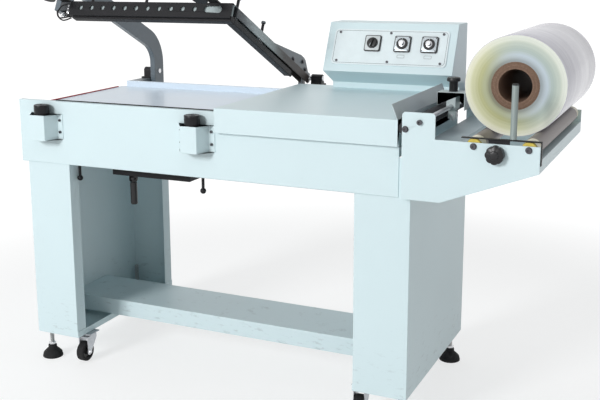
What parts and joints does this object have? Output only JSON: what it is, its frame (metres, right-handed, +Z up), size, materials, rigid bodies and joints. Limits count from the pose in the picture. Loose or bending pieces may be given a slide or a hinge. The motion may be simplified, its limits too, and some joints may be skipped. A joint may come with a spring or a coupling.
{
  "type": "L-bar sealer",
  "caption": "Shrink-film sealer on a wheeled stand: a sprung L-shaped sealing head hinged over a bed, hold-down magnets, control box and film roll cradle.",
  "frame": {"origin": "middle of the machine's outline on the floor, under the feet", "axes": "+X from the sealing bed towards the film roll, +Y from the operator towards the back, +Z up"},
  "size_m": [1.64, 0.775, 1.261],
  "materials": {
    "body_paint": "satin powder coat, pale blue-white",
    "bed_paint": "satin, pale lavender grey",
    "grey_paint": "satin dark grey",
    "neck_paint": "satin blue-grey",
    "black_metal": "semi-gloss black",
    "head_grey": "brushed",
    "bright_steel": "zinc-plated, slightly dull",
    "black_plastic": "moulded, glossy",
    "black_rubber": "matt",
    "pad_rubber": "silicone, matt",
    "red_strip": "matt",
    "panel_plate": "smooth overlay",
    "dial_metal": "turned",
    "roller_taupe": "satin",
    "guide_dark": "matt sleeve",
    "film": "clear film wound in many layers",
    "core_board": "wound board",
    "caster_grey": "pressed, zinc-grey"
  },
  "bodies": {
    "table": {"left_leg": "body_paint", "right_leg": "body_paint", "shelf": "body_paint", "front_panel": "body_paint", "table_frame": "body_paint", "bed_plate": "bed_paint", "table_cover": "body_paint", "edge_strip": "red_strip", "lower_jaw": "black_metal", "jaw_pad": "pad_rubber", "jaw_posts": "black_metal", "under_tray": "black_metal", "pivot_brackets": "grey_paint", "pivot_bearings": "black_metal", "control_box": "body_paint", "control_panel": "panel_plate", "control_modules": "black_plastic", "magnet_brackets": "body_paint", "magnets": "black_metal", "cap_screws": "bright_steel", "film_guide": "bright_steel", "cradle_front_plate": "body_paint", "cradle_rear_plate": "body_paint", "cradle_rail": "body_paint", "film_tray": "body_paint", "guide_bar": "bright_steel", "roll_stop": "black_metal", "perforator": "head_grey", "caster_plates": "caster_grey"},
    "head": {"head_beam": "head_grey", "head_face": "black_metal", "side_arm": "head_grey", "gusset_plate": "head_grey", "gooseneck": "neck_paint", "pivot_shafts": "bright_steel", "pull_handle": "bright_steel"},
    "front_jaw": {"front_jaw": "black_metal"},
    "side_jaw": {"side_jaw": "black_metal"},
    "film_roll": {"film_roll": "film", "film_core": "core_board"},
    "left_roller": {"left_roller": "roller_taupe"},
    "right_roller": {"right_roller": "roller_taupe"},
    "guide_roller": {"guide_roller": "guide_dark"},
    "pin_wheel": {"pin_wheel": "bright_steel"},
    "perforator_knob": {"perforator_knob": "black_plastic"},
    "star_knob": {"star_knob": "black_plastic"},
    "switch_knob": {"switch_knob": "black_plastic"},
    "left_dial": {"left_dial": "dial_metal"},
    "right_dial": {"right_dial": "dial_metal"},
    "grip_lever": {"grip_lever": "black_plastic"},
    "left_caster_fork": {"left_caster_fork": "caster_grey"},
    "right_caster_fork": {"right_caster_fork": "caster_grey"},
    "left_front_wheel": {"left_front_wheel": "black_rubber"},
    "right_front_wheel": {"right_front_wheel": "black_rubber"},
    "left_rear_wheel": {"left_rear_wheel": "black_rubber"},
    "right_rear_wheel": {"right_rear_wheel": "black_rubber"},
    "left_front_foot": {"left_front_foot": "black_rubber"},
    "right_front_foot": {"right_front_foot": "black_rubber"},
    "left_rear_foot": {"left_rear_foot": "black_rubber"},
    "right_rear_foot": {"right_rear_foot": "black_rubber"}
  },
  "joints": [
    {"name": "head_hinge", "type": "hinge", "parent": "table", "child": "head", "pos_m": [-0.44, 0.35245, 0.88], "axis": [1, 0, 0], "range_deg": [0, 26], "stiffness_Nm_per_rad": 60, "springref_deg": -68.75},
    {"name": "front_jaw_slide", "type": "slide", "parent": "head", "child": "front_jaw", "axis": [0, 0.4384, 0.8988], "range_m": [0, 0.004], "stiffness_N_per_m": 3000, "springref_m": -0.01},
    {"name": "side_jaw_slide", "type": "slide", "parent": "head", "child": "side_jaw", "axis": [0, 0.4384, 0.8988], "range_m": [0, 0.004], "stiffness_N_per_m": 3000, "springref_m": -0.01},
    {"name": "film_roll_turn", "type": "hinge", "parent": "table", "child": "film_roll", "pos_m": [0.689, 0.03445, 0.95661], "axis": [0, 1, 0], "continuous": true},
    {"name": "left_roller_turn", "type": "hinge", "parent": "table", "child": "left_roller", "pos_m": [0.621, -0.02755, 0.8191], "axis": [0, 1, 0], "continuous": true},
    {"name": "right_roller_turn", "type": "hinge", "parent": "table", "child": "right_roller", "pos_m": [0.757, -0.02755, 0.8191], "axis": [0, 1, 0], "continuous": true},
    {"name": "guide_roller_turn", "type": "hinge", "parent": "table", "child": "guide_roller", "pos_m": [0.444, -0.02755, 0.851], "axis": [0, 1, 0], "continuous": true},
    {"name": "pin_wheel_turn", "type": "hinge", "parent": "table", "child": "pin_wheel", "pos_m": [0.482, -0.04055, 0.8434], "axis": [0, 1, 0], "continuous": true},
    {"name": "perforator_knob_turn", "type": "hinge", "parent": "table", "child": "perforator_knob", "pos_m": [0.482, -0.04055, 0.93], "axis": [0, 0, 1], "continuous": true},
    {"name": "star_knob_turn", "type": "hinge", "parent": "table", "child": "star_knob", "pos_m": [0.677, -0.36755, 0.80308], "axis": [0, 1, 0], "continuous": true},
    {"name": "power_switch_turn", "type": "hinge", "parent": "table", "child": "switch_knob", "pos_m": [0.17292, 0.14603, 1.02412], "axis": [0, -0.9087, 0.4175], "range_deg": [0, 90]},
    {"name": "left_dial_turn", "type": "hinge", "parent": "table", "child": "left_dial", "pos_m": [0.2686, 0.14603, 1.02412], "axis": [0, -0.9087, 0.4175], "range_deg": [-135, 135]},
    {"name": "right_dial_turn", "type": "hinge", "parent": "table", "child": "right_dial", "pos_m": [0.35388, 0.14603, 1.02412], "axis": [0, -0.9087, 0.4175], "range_deg": [-135, 135]},
    {"name": "grip_lever_swing", "type": "hinge", "parent": "table", "child": "grip_lever", "pos_m": [-0.48478, -0.21765, 0.6099], "axis": [1, 0, 0], "range_deg": [-40, 40]},
    {"name": "left_caster_swivel", "type": "hinge", "parent": "table", "child": "left_caster_fork", "pos_m": [-0.648, -0.26955, 0.07], "axis": [0, 0, 1], "continuous": true},
    {"name": "left_front_wheel_turn", "type": "hinge", "parent": "left_caster_fork", "child": "left_front_wheel", "pos_m": [-0.648, -0.29155, 0.034], "axis": [1, 0, 0], "continuous": true},
    {"name": "left_rear_wheel_turn", "type": "hinge", "parent": "table", "child": "left_rear_wheel", "pos_m": [-0.648, 0.15645, 0.034], "axis": [1, 0, 0], "continuous": true},
    {"name": "right_caster_swivel", "type": "hinge", "parent": "table", "child": "right_caster_fork", "pos_m": [0.305, -0.26955, 0.07], "axis": [0, 0, 1], "continuous": true},
    {"name": "right_front_wheel_turn", "type": "hinge", "parent": "right_caster_fork", "child": "right_front_wheel", "pos_m": [0.305, -0.29155, 0.034], "axis": [1, 0, 0], "continuous": true},
    {"name": "right_rear_wheel_turn", "type": "hinge", "parent": "table", "child": "right_rear_wheel", "pos_m": [0.305, 0.15645, 0.034], "axis": [1, 0, 0], "continuous": true},
    {"name": "left_front_foot_screw", "type": "hinge", "parent": "table", "child": "left_front_foot", "pos_m": [-0.772, -0.30155, 0.02], "axis": [0, 0, 1], "continuous": true},
    {"name": "left_rear_foot_screw", "type": "hinge", "parent": "table", "child": "left_rear_foot", "pos_m": [-0.772, 0.21045, 0.02], "axis": [0, 0, 1], "continuous": true},
    {"name": "right_front_foot_screw", "type": "hinge", "parent": "table", "child": "right_front_foot", "pos_m": [0.429, -0.30155, 0.02], "axis": [0, 0, 1], "continuous": true},
    {"name": "right_rear_foot_screw", "type": "hinge", "parent": "table", "child": "right_rear_foot", "pos_m": [0.429, 0.21045, 0.02], "axis": [0, 0, 1], "continuous": true}
  ],
  "couplings": [
    {"joint": "left_roller_turn", "follows": "film_roll_turn", "ratio": -5.9545},
    {"joint": "right_roller_turn", "follows": "film_roll_turn", "ratio": -5.9545}
  ]
}
